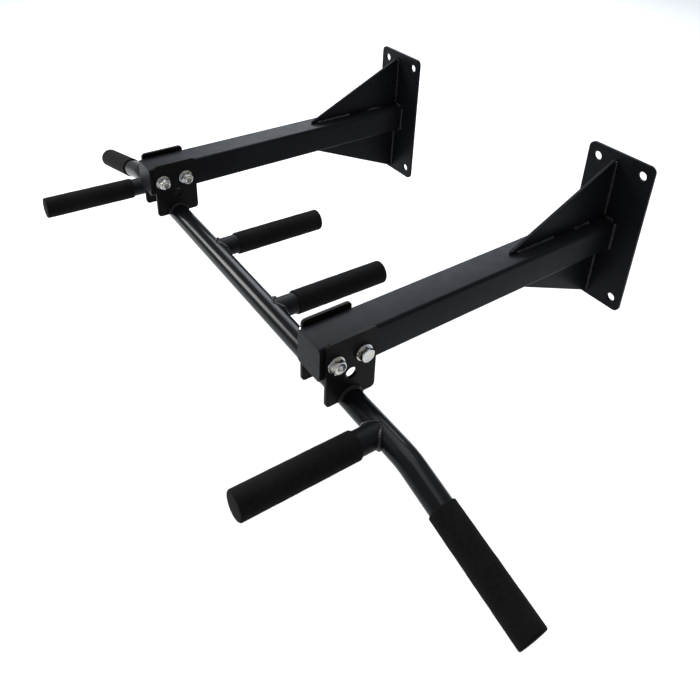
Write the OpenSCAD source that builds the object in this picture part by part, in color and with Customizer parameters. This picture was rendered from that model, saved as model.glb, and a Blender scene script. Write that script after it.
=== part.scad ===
// Wall-mounted pull-up bar with six grips.
// Millimetres. X runs along the bar, +Y points into the wall, Z is up.
// The origin lies on the wall, in the middle of the two brackets' bolt patterns.

/* [Node] */
// Which sub-part to build

/* [Overall layout] */
// Distance between the two arms, centre to centre
arm_spacing = 528; // [400:1:700]
// How far the arms sit to the -X side of their wall plates' centres
arm_offset = 8; // [0:0.5:20]
// How far the arms sit below their wall plates' centres
arm_drop = 6; // [0:0.5:20]
// Free end of the arm, out from the wall
arm_reach = 549; // [350:1:700]
// Bar axis, back from the arms' free ends
bar_setback = 44; // [37:0.5:80]
// Clear gap between the arms' undersides and the bar
bar_gap = 26; // [10:0.5:50]

/* [Wall plates] */
// Wall plate width
wall_plate_width = 116; // [90:1:160]
// Wall plate height
wall_plate_height = 260; // [200:1:320]
// Wall plate thickness
wall_plate_thickness = 5; // [3:0.5:8]
// Wall plate corner radius
wall_plate_corner = 10; // [2:1:20]
// Wall bolt holes, in from the plate's side edges
wall_hole_edge_x = 18; // [12:0.5:30]
// Wall bolt holes, in from the plate's top and bottom edges
wall_hole_edge_z = 20; // [12:0.5:40]
// Wall bolt size
wall_bolt_size = 12; // [8:1:16]
// Extra width of the wall bolt holes
wall_bolt_clearance = 2; // [0.5:0.5:3]

/* [Arms] */
// Arm tube width and height
arm_size = 50; // [40:1:60]
// Arm tube wall
arm_wall = 3; // [2:0.5:5]
// Arm tube outer corner radius
arm_corner = 5; // [3.5:0.5:8]
// End cap thickness
end_cap_thickness = 3; // [2:0.5:6]

/* [Gussets] */
// Gusset thickness
gusset_thickness = 5; // [3:0.5:8]
// Upper gusset length along the arm
upper_gusset_length = 205; // [120:1:260]
// Upper gusset's top corner, below the wall plate's top edge
upper_gusset_gap = 11; // [0:0.5:40]
// Lower gusset length along the arm
lower_gusset_length = 207; // [120:1:260]
// Lower gusset's bottom corner, above the wall plate's bottom edge
lower_gusset_gap = 5; // [0:0.5:40]
// Blunt height of the gussets' tips
gusset_tip = 4; // [2:0.5:10]

/* [Clamp plates] */
// Clamp plate thickness
clamp_thickness = 5; // [3:0.5:8]
// Clamp plate width along the arm
clamp_width = 74; // [60:1:100]
// Clamp plate top, above the arm
clamp_rise = 7; // [2:0.5:20]
// Clamp plate corner radius
clamp_corner = 6; // [2:0.5:12]
// Clamp plate bottom edge, above the bar axis
clamp_foot_height = 1; // [0.5:0.5:6]
// Spare hole in the clamp plates
spare_hole = 17; // [8:0.5:20]
// Spare hole centre, below the arm's underside
spare_hole_gap = 1; // [-2:0.5:8]

/* [Clamp bolts] */
// Clamp bolt size
clamp_bolt_size = 12; // [8:1:14]
// Extra width of the clamp bolt holes
clamp_bolt_clearance = 1; // [0.5:0.5:2]
// Distance between the two clamp bolts
clamp_bolt_spacing = 41; // [36:1:50]
// Middle of the two clamp bolts, in front of the bar axis
clamp_bolt_lead = 3.5; // [0:0.5:6]
// Bolt head and nut width across flats
hex_width = 18; // [13:1:22]
// Bolt head height
bolt_head_height = 7.5; // [5:0.5:10]
// Washer outer size
washer_size = 24; // [20:1:28]
// Washer thickness
washer_thickness = 2.5; // [1:0.5:4]
// Nut height without its collar
nut_height = 8; // [6:0.5:12]
// Lock nut collar height
nut_collar_height = 3.5; // [1:0.5:5]
// Lock nut collar width
nut_collar_width = 16.5; // [14:0.5:20]
// Bolt length past the nut
bolt_tail = 3; // [1:0.5:8]

/* [Bar] */
// Bar tube diameter
bar_diameter = 32; // [28:0.5:40]
// Bar tube wall
bar_wall = 3; // [2:0.5:4]
// Bend point, out from the outer grip's axis
bend_offset = 49; // [32:0.5:120]
// Bend angle of the bar's ends
bend_angle = 15; // [5:0.5:30]
// Bend radius at the tube's centre line
bend_radius = 100; // [60:1:150]
// Mitred steps in each bend
bend_steps = 5; // [2:1:8]

/* [Grips] */
// Outer grip's axis, out from the arm's centre line
outer_grip_offset = 95; // [60:1:160]
// Inner grips, out from the bar's middle
inner_grip_place = 93; // [60:1:180]
// Where the grips' bare tube ends, from the bar axis
grip_sleeve_start = 40; // [30:1:80]
// Outer grip end, from the bar axis
outer_grip_end = 196; // [140:1:240]
// Inner grip end, from the bar axis
inner_grip_end = 200; // [140:1:240]
// Start of the end grips, from the bend point
end_grip_start = 64; // [40:1:100]
// End of the end grips, from the bend point
end_grip_end = 212; // [160:1:260]
// Tilt of all grips about the bar axis, outer grips upward
grip_tilt = 1.5; // [0:0.5:5]
// Grip sleeve wall
sleeve_wall = 2.5; // [2:0.5:8]
// Grip sleeve closed end thickness
sleeve_end = 4; // [2:0.5:8]
// Grip sleeve edge rounding
sleeve_round = 1.5; // [0.5:0.5:2]
// Trimmed tip of the coped grip tubes, from the bar axis
cope_trim = 6; // [5:0.5:8]

/* [Hidden] */
$fn = 72;

LEFT = -1;
RIGHT = 1;
overlap = 1;
bar_x = -arm_offset;
arm_z = -arm_drop;
half_arm = arm_size / 2;
arm_root = -wall_plate_thickness;
arm_end = -arm_reach;
tube_end = arm_end + end_cap_thickness;
bar_reach = arm_reach - bar_setback;
bar_radius = bar_diameter / 2;
bar_z = arm_z - half_arm - bar_gap - bar_radius;
bar_bore = bar_diameter - 2 * bar_wall;
sleeve_radius = bar_radius + sleeve_wall;
bolt_hole = clamp_bolt_size + clamp_bolt_clearance;
wall_hole = wall_bolt_size + wall_bolt_clearance;
bolt_middle = -bar_reach - clamp_bolt_lead;
bolt_places = [bolt_middle - clamp_bolt_spacing / 2, bolt_middle + clamp_bolt_spacing / 2];
stack_face = half_arm + clamp_thickness;
washer_face = stack_face + washer_thickness;
nut_face = washer_face + nut_height;
nut_end = nut_face + nut_collar_height;
bolt_end = nut_end + bolt_tail;
hex_corner_radius = hex_width / 2 / cos(30);
hex_chamfer = 1.6;
hex_land = 0.4;
outer_grip_place = arm_spacing / 2 + outer_grip_offset;
bend_point = outer_grip_place + bend_offset;
bend_tangent = bend_radius * tan(bend_angle / 2);
bend_start = bend_point - bend_tangent;
bend_step = bend_angle / bend_steps;

paint_plate = [0.16, 0.17, 0.20];
paint_arm = [0.22, 0.23, 0.27];
paint_bar = [0.08, 0.08, 0.09];
zinc = [0.72, 0.72, 0.68];
foam = [0.05, 0.05, 0.05];

function arm_x(side) = bar_x + side * arm_spacing / 2;
function plate_x(side) = side * arm_spacing / 2;

// ---------- flat shapes ----------
module rounded_rect(w, h, r) {
    union() {
        square([w - 2 * r, h], center = true);
        square([w, h - 2 * r], center = true);
        for (u = [-1, 1], v = [-1, 1])
            translate([u * (w / 2 - r), v * (h / 2 - r)]) circle(r = r);
    }
}

// A flat shape drawn in X and Z, thickened from y to y + t
module standing(y, t) {
    translate([0, y + t, 0]) rotate([90, 0, 0]) linear_extrude(height = t) children();
}

// A flat shape drawn in Y and Z, thickened from x to x + t
module side_on(x, t) {
    translate([x, 0, 0]) rotate([90, 0, 90]) linear_extrude(height = t) children();
}

// ---------- wall brackets ----------
module wall_plate(side) {
    color(paint_plate) difference() {
        translate([plate_x(side), 0, 0]) standing(-wall_plate_thickness, wall_plate_thickness)
            rounded_rect(wall_plate_width, wall_plate_height, wall_plate_corner);
        for (u = [-1, 1], v = [-1, 1])
            translate([plate_x(side) + u * (wall_plate_width / 2 - wall_hole_edge_x), overlap,
                       v * (wall_plate_height / 2 - wall_hole_edge_z)])
                rotate([90, 0, 0])
                    cylinder(d = wall_hole, h = wall_plate_thickness + 2 * overlap);
    }
}

module arm_tube(side) {
    color(paint_arm) difference() {
        translate([arm_x(side), 0, arm_z]) standing(tube_end, arm_root - tube_end)
            rounded_rect(arm_size, arm_size, arm_corner);
        translate([arm_x(side), 0, arm_z])
            standing(tube_end - overlap, arm_root - tube_end + 2 * overlap)
                rounded_rect(arm_size - 2 * arm_wall, arm_size - 2 * arm_wall,
                             arm_corner - arm_wall);
        for (y = bolt_places)
            translate([arm_x(side) - half_arm - overlap, y, arm_z]) rotate([0, 90, 0])
                cylinder(d = bolt_hole, h = arm_size + 2 * overlap);
    }
}

module arm_end_cap(side) {
    color(paint_arm) translate([arm_x(side), 0, arm_z]) standing(arm_end, end_cap_thickness)
        rounded_rect(arm_size, arm_size, arm_corner);
}

module upper_gusset(side) {
    base = arm_z + half_arm;
    corner = wall_plate_height / 2 - upper_gusset_gap;
    color(paint_plate) side_on(arm_x(side) - gusset_thickness / 2, gusset_thickness)
        polygon([[arm_root, base], [arm_root, corner],
                 [arm_root - upper_gusset_length, base + gusset_tip],
                 [arm_root - upper_gusset_length, base]]);
}

module lower_gusset(side) {
    base = arm_z - half_arm;
    corner = lower_gusset_gap - wall_plate_height / 2;
    color(paint_plate) side_on(arm_x(side) - gusset_thickness / 2, gusset_thickness)
        polygon([[arm_root, base], [arm_root - lower_gusset_length, base],
                 [arm_root - lower_gusset_length, base - gusset_tip],
                 [arm_root, corner]]);
}

// ---------- clamps that hold the bar under the arms ----------
module clamp_plate(x) {
    top = arm_z + half_arm + clamp_rise;
    foot = bar_z + clamp_foot_height;
    color(paint_plate) difference() {
        side_on(x, clamp_thickness)
            translate([-bar_reach, (top + foot) / 2])
                rounded_rect(clamp_width, top - foot, clamp_corner);
        translate([x - overlap, -bar_reach, bar_z]) rotate([0, 90, 0])
            cylinder(d = bar_diameter, h = clamp_thickness + 2 * overlap);
        for (y = bolt_places)
            translate([x - overlap, y, arm_z]) rotate([0, 90, 0])
                cylinder(d = bolt_hole, h = clamp_thickness + 2 * overlap);
        translate([x - overlap, -bar_reach, arm_z - half_arm - spare_hole_gap])
            rotate([0, 90, 0])
            cylinder(d = spare_hole, h = clamp_thickness + 2 * overlap);
    }
}

module outer_clamp_plate(side) {
    clamp_plate(arm_x(side) + side * (half_arm + clamp_thickness / 2) - clamp_thickness / 2);
}

module inner_clamp_plate(side) {
    clamp_plate(arm_x(side) - side * (half_arm + clamp_thickness / 2) - clamp_thickness / 2);
}

// Places its children at both clamp bolts, with their Z axis pointing outward along the bar
module at_clamp_bolts(side) {
    for (y = bolt_places)
        translate([arm_x(side), y, arm_z]) rotate([0, side * 90, 0]) children();
}

// A hexagon block with its far corners turned off
module hex_block(from, height) {
    intersection() {
        translate([0, 0, from]) rotate([0, 0, 30])
            cylinder(r = hex_corner_radius, h = height, $fn = 6);
        translate([0, 0, from]) rotate_extrude()
            polygon([[0, 0], [hex_corner_radius + overlap, 0],
                     [hex_corner_radius + overlap, height - hex_chamfer],
                     [hex_width / 2 - hex_land, height], [0, height]]);
    }
}

module clamp_bolts(side) {
    color(zinc) at_clamp_bolts(side) union() {
        hex_block(washer_face, bolt_head_height);
        translate([0, 0, -bolt_end])
            cylinder(d = clamp_bolt_size, h = bolt_end + washer_face + overlap);
    }
}

module washer_ring(from) {
    difference() {
        translate([0, 0, from]) cylinder(d = washer_size, h = washer_thickness);
        translate([0, 0, from - overlap]) cylinder(d = bolt_hole, h = washer_thickness + 2 * overlap);
    }
}

module clamp_washers(side) {
    color(zinc) at_clamp_bolts(side) {
        washer_ring(stack_face);
        washer_ring(-washer_face);
    }
}

module clamp_nuts(side) {
    color(zinc) at_clamp_bolts(side) rotate([0, 180, 0]) difference() {
        union() {
            hex_block(washer_face, nut_height);
            translate([0, 0, nut_face - overlap])
                cylinder(d = nut_collar_width, h = nut_collar_height + overlap);
        }
        translate([0, 0, washer_face - overlap])
            cylinder(d = clamp_bolt_size, h = nut_end - washer_face + 2 * overlap);
    }
}

// ---------- bar ----------
// Moves its children to the bar's middle and tilts them about the bar axis
module bar_frame() {
    translate([bar_x, -bar_reach, bar_z]) rotate([-grip_tilt, 0, 0]) children();
}

// Moves its children to the bend point of one end, with Z running out along the bent end
module end_frame(side) {
    bar_frame() translate([side * bend_point, 0, 0])
        rotate([0, side * (90 + bend_angle), 0]) children();
}

// Everything on one side of a flat cut through the bend's centre, "turn" degrees into the bend
module bend_cut(turn, keep_inner) {
    reach = 2 * bend_point;
    translate([bend_start, 0, -bend_radius]) rotate([0, turn, 0])
        translate([keep_inner ? -reach : 0, -bar_diameter, 0])
            cube([reach, 2 * bar_diameter, bend_radius + 2 * bar_diameter]);
}

// A straight length of round bar that touches the bend's centre line "turn" degrees in
module bend_rod(d, turn, before, after) {
    translate([bend_start, 0, -bend_radius]) rotate([0, turn, 0])
        translate([-before, 0, bend_radius]) rotate([0, 90, 0])
            cylinder(d = d, h = before + after);
}

// The whole bar as a solid rod of one diameter; each bend is made of short mitred steps
module bar_rod(d, leg_extra) {
    intersection() {
        rotate([0, 90, 0]) cylinder(d = d, h = 2 * bend_point, center = true);
        bend_cut(bend_step / 2, true);
        rotate([0, 0, 180]) bend_cut(bend_step / 2, true);
    }
    for (turn = [0, 180]) rotate([0, 0, turn]) {
        for (i = [1 : bend_steps - 1]) intersection() {
            bend_rod(d, i * bend_step, bar_diameter / 2, bar_diameter / 2);
            bend_cut((i - 0.5) * bend_step, false);
            bend_cut((i + 0.5) * bend_step, true);
        }
        intersection() {
            bend_rod(d, bend_angle, bar_diameter,
                     end_grip_end - sleeve_end - bend_tangent + leg_extra);
            bend_cut((bend_steps - 0.5) * bend_step, false);
        }
    }
}

module main_bar() {
    color(paint_bar) bar_frame() difference() {
        bar_rod(bar_diameter, 0);
        bar_rod(bar_bore, overlap);
    }
}

// ---------- grips ----------
// Z runs out along the grip; dir is -1 for grips that point out to the room, 1 to the wall
module grip_frame(side, place, dir) {
    bar_frame() translate([side * place, 0, 0]) rotate([-dir * 90, 0, 0]) children();
}

module grip_tube(side, place, dir, reach) {
    color(paint_bar) difference() {
        grip_frame(side, place, dir) difference() {
            translate([0, 0, cope_trim])
                cylinder(d = bar_diameter, h = reach - sleeve_end - cope_trim);
            cylinder(d = bar_bore, h = reach + overlap);
        }
        bar_frame() translate([side * place - bar_diameter, 0, 0]) rotate([0, 90, 0])
            cylinder(d = bar_diameter, h = 2 * bar_diameter);
    }
}

// A closed-end sleeve as a turned cup around the tube
module sleeve_cup(start, end) {
    color(foam) rotate_extrude()
        polygon([[bar_radius, start], [sleeve_radius - sleeve_round, start],
                 [sleeve_radius - 0.3 * sleeve_round, start + 0.3 * sleeve_round],
                 [sleeve_radius, start + sleeve_round],
                 [sleeve_radius, end - sleeve_round],
                 [sleeve_radius - 0.3 * sleeve_round, end - 0.3 * sleeve_round],
                 [sleeve_radius - sleeve_round, end], [0, end],
                 [0, end - sleeve_end], [bar_radius, end - sleeve_end]]);
}

wall_plate(LEFT);  // left_wall_plate
wall_plate(RIGHT);  // right_wall_plate
arm_tube(LEFT);  // left_arm_tube
arm_tube(RIGHT);  // right_arm_tube
upper_gusset(LEFT);  // left_upper_gusset
upper_gusset(RIGHT);  // right_upper_gusset
lower_gusset(LEFT);  // left_lower_gusset
lower_gusset(RIGHT);  // right_lower_gusset
arm_end_cap(LEFT);  // left_arm_end_cap
arm_end_cap(RIGHT);  // right_arm_end_cap
outer_clamp_plate(LEFT);  // left_outer_clamp_plate
outer_clamp_plate(RIGHT);  // right_outer_clamp_plate
inner_clamp_plate(LEFT);  // left_inner_clamp_plate
inner_clamp_plate(RIGHT);  // right_inner_clamp_plate
clamp_bolts(LEFT);  // left_clamp_bolts
clamp_bolts(RIGHT);  // right_clamp_bolts
clamp_washers(LEFT);  // left_clamp_washers
clamp_washers(RIGHT);  // right_clamp_washers
clamp_nuts(LEFT);  // left_clamp_nuts
clamp_nuts(RIGHT);  // right_clamp_nuts
main_bar();
grip_tube(LEFT, outer_grip_place, -1, outer_grip_end);  // left_outer_grip_tube
grip_tube(RIGHT, outer_grip_place, -1, outer_grip_end);  // right_outer_grip_tube
grip_tube(LEFT, inner_grip_place, 1, inner_grip_end);  // left_inner_grip_tube
grip_tube(RIGHT, inner_grip_place, 1, inner_grip_end);  // right_inner_grip_tube
grip_frame(LEFT, outer_grip_place, -1) sleeve_cup(grip_sleeve_start, outer_grip_end);  // left_outer_grip_sleeve
grip_frame(RIGHT, outer_grip_place, -1) sleeve_cup(grip_sleeve_start, outer_grip_end);  // right_outer_grip_sleeve
grip_frame(LEFT, inner_grip_place, 1) sleeve_cup(grip_sleeve_start, inner_grip_end);  // left_inner_grip_sleeve
grip_frame(RIGHT, inner_grip_place, 1) sleeve_cup(grip_sleeve_start, inner_grip_end);  // right_inner_grip_sleeve
end_frame(LEFT) sleeve_cup(end_grip_start, end_grip_end);  // left_end_grip_sleeve
end_frame(RIGHT) sleeve_cup(end_grip_start, end_grip_end);  // right_end_grip_sleeve
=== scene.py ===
"""Looks for a wall-mounted pull-up bar with six grips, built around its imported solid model.

Units are metres, in the solid model's own frame: X runs along the bar, +Y points into the wall
and Z is up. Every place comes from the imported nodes' boxes, plus the few sizes held as fields.
"""

import logging
import math
from dataclasses import dataclass, field
from enum import Enum
from typing import Any, Mapping, Optional, Sequence, Union

import bmesh
import bpy
import numpy as np
from mathutils import Matrix, Vector

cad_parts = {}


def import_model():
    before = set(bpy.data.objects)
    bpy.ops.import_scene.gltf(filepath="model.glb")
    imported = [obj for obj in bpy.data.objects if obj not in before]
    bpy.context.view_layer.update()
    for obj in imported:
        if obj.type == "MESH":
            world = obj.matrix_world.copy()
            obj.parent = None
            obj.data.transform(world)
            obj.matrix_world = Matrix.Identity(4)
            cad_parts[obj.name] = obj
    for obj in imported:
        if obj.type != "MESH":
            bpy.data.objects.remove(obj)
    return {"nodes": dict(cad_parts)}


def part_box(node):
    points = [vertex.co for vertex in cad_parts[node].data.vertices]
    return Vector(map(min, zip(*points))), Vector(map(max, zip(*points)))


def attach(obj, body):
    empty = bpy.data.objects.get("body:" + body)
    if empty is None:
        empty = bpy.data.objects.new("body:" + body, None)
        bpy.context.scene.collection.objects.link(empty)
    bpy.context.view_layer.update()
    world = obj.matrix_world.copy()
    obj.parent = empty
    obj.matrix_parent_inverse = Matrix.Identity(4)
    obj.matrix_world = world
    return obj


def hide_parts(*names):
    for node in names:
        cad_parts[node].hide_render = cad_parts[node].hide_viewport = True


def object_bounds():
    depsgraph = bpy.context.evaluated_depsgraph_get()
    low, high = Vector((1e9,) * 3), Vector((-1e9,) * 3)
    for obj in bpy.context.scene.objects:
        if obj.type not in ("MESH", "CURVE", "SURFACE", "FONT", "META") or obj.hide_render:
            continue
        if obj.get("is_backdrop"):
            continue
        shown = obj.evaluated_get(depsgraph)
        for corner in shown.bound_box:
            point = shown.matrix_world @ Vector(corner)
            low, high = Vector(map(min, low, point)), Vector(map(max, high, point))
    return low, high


LOG = logging.getLogger("pull_up_bar")
BODY = "root"
MM = 0.001
Colour = tuple[float, float, float]
Pair = tuple[float, float]
Key = Union[str, int]
Link = bpy.types.NodeSocket
Socket = Union[Link, float, Sequence[float]]


class Side(Enum):
    """Which arm a piece belongs to; the value is the sign of X."""

    LEFT = -1
    RIGHT = 1

    @property
    def word(self) -> str:
        """The side's name as it stands in node names."""
        return self.name.lower()


class Reach(Enum):
    """Which way a hand grip points from the bar; the value is the sign of Y."""

    OUTER = -1
    INNER = 1

    @property
    def word(self) -> str:
        """The grip's name as it stands in node names."""
        return self.name.lower()


# ------------------------------------------------------------------ surfaces from numpy grids


def unit(vectors: np.ndarray) -> np.ndarray:
    """Scales each vector of the last axis to length one.

    Args:
        vectors: Any array whose last axis has three entries.

    Returns:
        An array of the same shape.
    """
    return vectors / np.linalg.norm(vectors, axis=-1, keepdims=True)


def signed_volume(points: np.ndarray, quads: np.ndarray) -> float:
    """Volume inside a closed shell, negative if its faces point inwards.

    Each quad a, b, c, d adds a . (b x c) / 6 + a . (c x d) / 6.

    Args:
        points: Vertex places, one row each.
        quads: Vertex numbers, four a row; a triangle repeats its last one.

    Returns:
        The volume in cubic metres.
    """
    a, b, c, d = (points[quads[:, i]] for i in range(4))
    return float(
        (np.einsum("ij,ij->i", a, np.cross(b, c)) + np.einsum("ij,ij->i", a, np.cross(c, d))).sum() / 6
    )


@dataclass
class Shell:
    """A closed surface given by a grid of points: rows run along it, columns go round it."""

    grid: np.ndarray
    ring: bool = False

    def arrays(self) -> tuple[np.ndarray, np.ndarray]:
        """Vertices and outward faces of the shell.

        Neighbouring grid points make quads, and the last column meets the first. With ring, the
        last row meets the first as well; otherwise each end row is closed by a fan to its mean.

        Returns:
            The points, and the quads as vertex numbers (a triangle repeats its last one).
        """
        rows, cols, _ = self.grid.shape
        points = self.grid.reshape(-1, 3)
        number = np.arange(rows * cols).reshape(rows, cols)
        near = number if self.ring else number[:-1]
        far = np.roll(number, -1, axis=0) if self.ring else number[1:]
        quads = np.stack([near, np.roll(near, -1, 1), np.roll(far, -1, 1), far], -1).reshape(-1, 4)
        if not self.ring:
            points = np.vstack([points, self.grid[0].mean(0), self.grid[-1].mean(0)])
            first, last = number[0], number[-1]
            fans = ((np.roll(first, -1), first), (last, np.roll(last, -1)))
            for tip, (a, b) in enumerate(fans, start=number.size):
                end = np.full(cols, tip)
                quads = np.vstack([quads, np.stack([a, b, end, end], -1)])
        if signed_volume(points, quads) < 0:
            flipped = quads[:, ::-1].copy()
            triangle = quads[:, 2] == quads[:, 3]
            flipped[triangle] = quads[triangle][:, [1, 0, 2, 2]]
            quads = flipped
        return points, quads


def make_object(name: str, shells: Sequence[Shell], sharp_degrees: float = 35.0) -> bpy.types.Object:
    """Puts one or more shells into one mesh object at the origin.

    Args:
        name: The piece's name.
        shells: The closed surfaces it is made of.
        sharp_degrees: Edges that turn by more than this stay sharp.

    Returns:
        The linked object, shaded smooth apart from its sharp edges.
    """
    points, quads, start = [], [], 0
    for shell in shells:
        p, q = shell.arrays()
        points.append(p)
        quads.append(q + start)
        start += len(p)
    all_points, all_quads = np.vstack(points), np.vstack(quads)
    triangle = all_quads[:, 2] == all_quads[:, 3]
    sizes = np.where(triangle, 3, 4).astype(np.int32)
    keep = np.ones(all_quads.shape, bool)
    keep[triangle, 3] = False
    mesh = bpy.data.meshes.new(name)
    mesh.vertices.add(len(all_points))
    mesh.vertices.foreach_set("co", all_points.astype(np.float32).ravel())
    mesh.loops.add(int(sizes.sum()))
    mesh.loops.foreach_set("vertex_index", all_quads[keep].astype(np.int32))
    mesh.polygons.add(len(sizes))
    mesh.polygons.foreach_set("loop_start", (np.cumsum(sizes) - sizes).astype(np.int32))
    mesh.update(calc_edges=True)
    mesh.validate()
    return link_mesh(name, mesh, sharp_degrees)


def link_mesh(name: str, mesh: bpy.types.Mesh, sharp_degrees: float) -> bpy.types.Object:
    """Links a mesh as a new object at the origin and sets its smooth shading.

    Args:
        name: The object's name.
        mesh: Its finished mesh.
        sharp_degrees: Edges that turn by more than this stay sharp.

    Returns:
        The object.
    """
    mesh.shade_smooth()
    mesh.set_sharp_from_angle(angle=math.radians(sharp_degrees))
    made = bpy.data.objects.new(name, mesh)
    bpy.context.scene.collection.objects.link(made)
    return made


def angles(count: int) -> np.ndarray:
    """Even angles once round, without the last one.

    Args:
        count: How many.

    Returns:
        The angles in radians.
    """
    return np.linspace(0, 2 * math.pi, count, endpoint=False)


def turned(
    radii: np.ndarray, heights: np.ndarray, centre: np.ndarray, axis: np.ndarray, first: np.ndarray
) -> np.ndarray:
    """Rings about an axis, with a radius for each ring and angle.

    A point is centre + height * axis + radius * (cos(t) * first + sin(t) * second), where
    second is square to axis and first, and t goes once round.

    Args:
        radii: A row for each ring and a column for each angle.
        heights: Each ring's height along the axis.
        centre: The point on the axis where height is nought.
        axis: The axis, of length one.
        first: Where t is nought, of length one and square to the axis.

    Returns:
        The grid of points.
    """
    t = angles(radii.shape[1])
    rim = np.cos(t)[:, None] * first + np.sin(t)[:, None] * np.cross(axis, first)
    return centre + heights[:, None, None] * axis + radii[..., None] * rim[None]


def arc(centre: Pair, radius: float, start: float, stop: float, count: int) -> np.ndarray:
    """Points on a circle in a profile: centre + radius * (cos t, sin t), with t in degrees.

    Args:
        centre: Radius and height of the arc's centre.
        radius: The arc's radius.
        start: First angle.
        stop: Last angle.
        count: Number of points.

    Returns:
        Rows of radius and height.
    """
    t = np.radians(np.linspace(start, stop, count))
    return np.stack([centre[0] + radius * np.cos(t), centre[1] + radius * np.sin(t)], -1)


# ------------------------------------------------------------------ finishes


class Recipe:
    """One material's node tree, filled a node at a time."""

    def __init__(self, name: str) -> None:
        """Starts a material with a Principled surface.

        Args:
            name: The material's name.
        """
        self.material = bpy.data.materials.new(name)
        self.material.use_nodes = True
        self.tree = self.material.node_tree
        self.tree.nodes.clear()
        self.shader = self.tree.nodes.new("ShaderNodeBsdfPrincipled")
        output = self.tree.nodes.new("ShaderNodeOutputMaterial")
        self.tree.links.new(self.shader.outputs[0], output.inputs[0])
        self.place = self.tree.nodes.new("ShaderNodeTexCoord").outputs["Object"]

    def set(self, node: bpy.types.Node, key: Key, value: Socket) -> None:
        """Links a socket or writes a plain value into a node's input.

        Args:
            node: The node.
            key: The input's name or number.
            value: A socket to link, or a value.
        """
        if isinstance(value, Link):
            self.tree.links.new(value, node.inputs[key])
        elif isinstance(value, (tuple, list)) and len(value) == 3 and node.inputs[key].type == "RGBA":
            node.inputs[key].default_value = (*value, 1.0)
        else:
            node.inputs[key].default_value = value

    def add(self, kind: str, inputs: Mapping[Key, Socket], output: Key = 0, **settings: Any) -> Link:
        """Adds a node.

        Args:
            kind: The node's type, without its ShaderNode prefix.
            inputs: Values and links for its inputs.
            output: The output wanted.
            **settings: The node's own properties.

        Returns:
            The output socket.
        """
        node = self.tree.nodes.new("ShaderNode" + kind)
        for key, value in settings.items():
            setattr(node, key, value)
        for key, value in inputs.items():
            self.set(node, key, value)
        return node.outputs[output]

    def stretched(self, scale: tuple[float, float, float]) -> Link:
        """Object coordinates scaled along each axis.

        Args:
            scale: The factor for X, Y and Z.

        Returns:
            The vector.
        """
        return self.add("Mapping", {"Vector": self.place, "Scale": scale}, vector_type="POINT")

    def noise(
        self, scale: float, detail: float = 3.0, rough: float = 0.5, where: Optional[Link] = None
    ) -> Link:
        """Cloudy noise from nought to one.

        Args:
            scale: Patches to the metre.
            detail: Octaves.
            rough: Strength of the finer octaves.
            where: The vector to read, or None for the object's own place.

        Returns:
            The noise factor.
        """
        inputs = {"Vector": where or self.place, "Scale": scale, "Detail": detail, "Roughness": rough}
        return self.add("TexNoise", inputs, "Fac")

    def cells(self, scale: float) -> Link:
        """Distance to the nearest of scattered points.

        Args:
            scale: Cells to the metre.

        Returns:
            The distance.
        """
        return self.add("TexVoronoi", {"Vector": self.place, "Scale": scale}, "Distance", feature="F1")

    def spread(self, factor: Link, low: float, high: float, a: float = 0.0, b: float = 1.0) -> Link:
        """Maps low..high to a..b, held at the ends.

        Args:
            factor: The value to map.
            low: Where a starts.
            high: Where b is reached.
            a: First value.
            b: Last value.

        Returns:
            The mapped value.
        """
        inputs = {"Value": factor, "From Min": low, "From Max": high, "To Min": a, "To Max": b}
        return self.add("MapRange", inputs, "Result")

    def tint(self, factor: Link, a: Socket, b: Socket) -> Link:
        """Mixes two colours; inputs 6 and 7 and output 2 are the mix node's coloured ones.

        Args:
            factor: Share of the second.
            a: First colour.
            b: Second colour.

        Returns:
            The colour.
        """
        node = self.tree.nodes.new("ShaderNodeMix")
        node.data_type = "RGBA"
        for number, value in ((0, factor), (6, a), (7, b)):
            self.set(node, number, value)
        return node.outputs[2]

    def bump(self, height: Link, strength: float, depth: float, under: Optional[Link] = None) -> Link:
        """Turns a height into a surface direction.

        Args:
            height: The height from nought to one.
            strength: Share that is used.
            depth: What a height of one stands for, in metres.
            under: A coarser bump below this one.

        Returns:
            The normal.
        """
        inputs: dict[Key, Socket] = {"Height": height, "Strength": strength, "Distance": depth}
        if under is not None:
            inputs["Normal"] = under
        return self.add("Bump", inputs)

    def surface(self, **sockets: Socket) -> bpy.types.Material:
        """Writes the Principled surface's inputs, with underscores for spaces.

        Args:
            **sockets: Links and values by input name.

        Returns:
            The finished material.
        """
        for key, value in sockets.items():
            self.set(self.shader, key.replace("_", " "), value)
        return self.material


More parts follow.
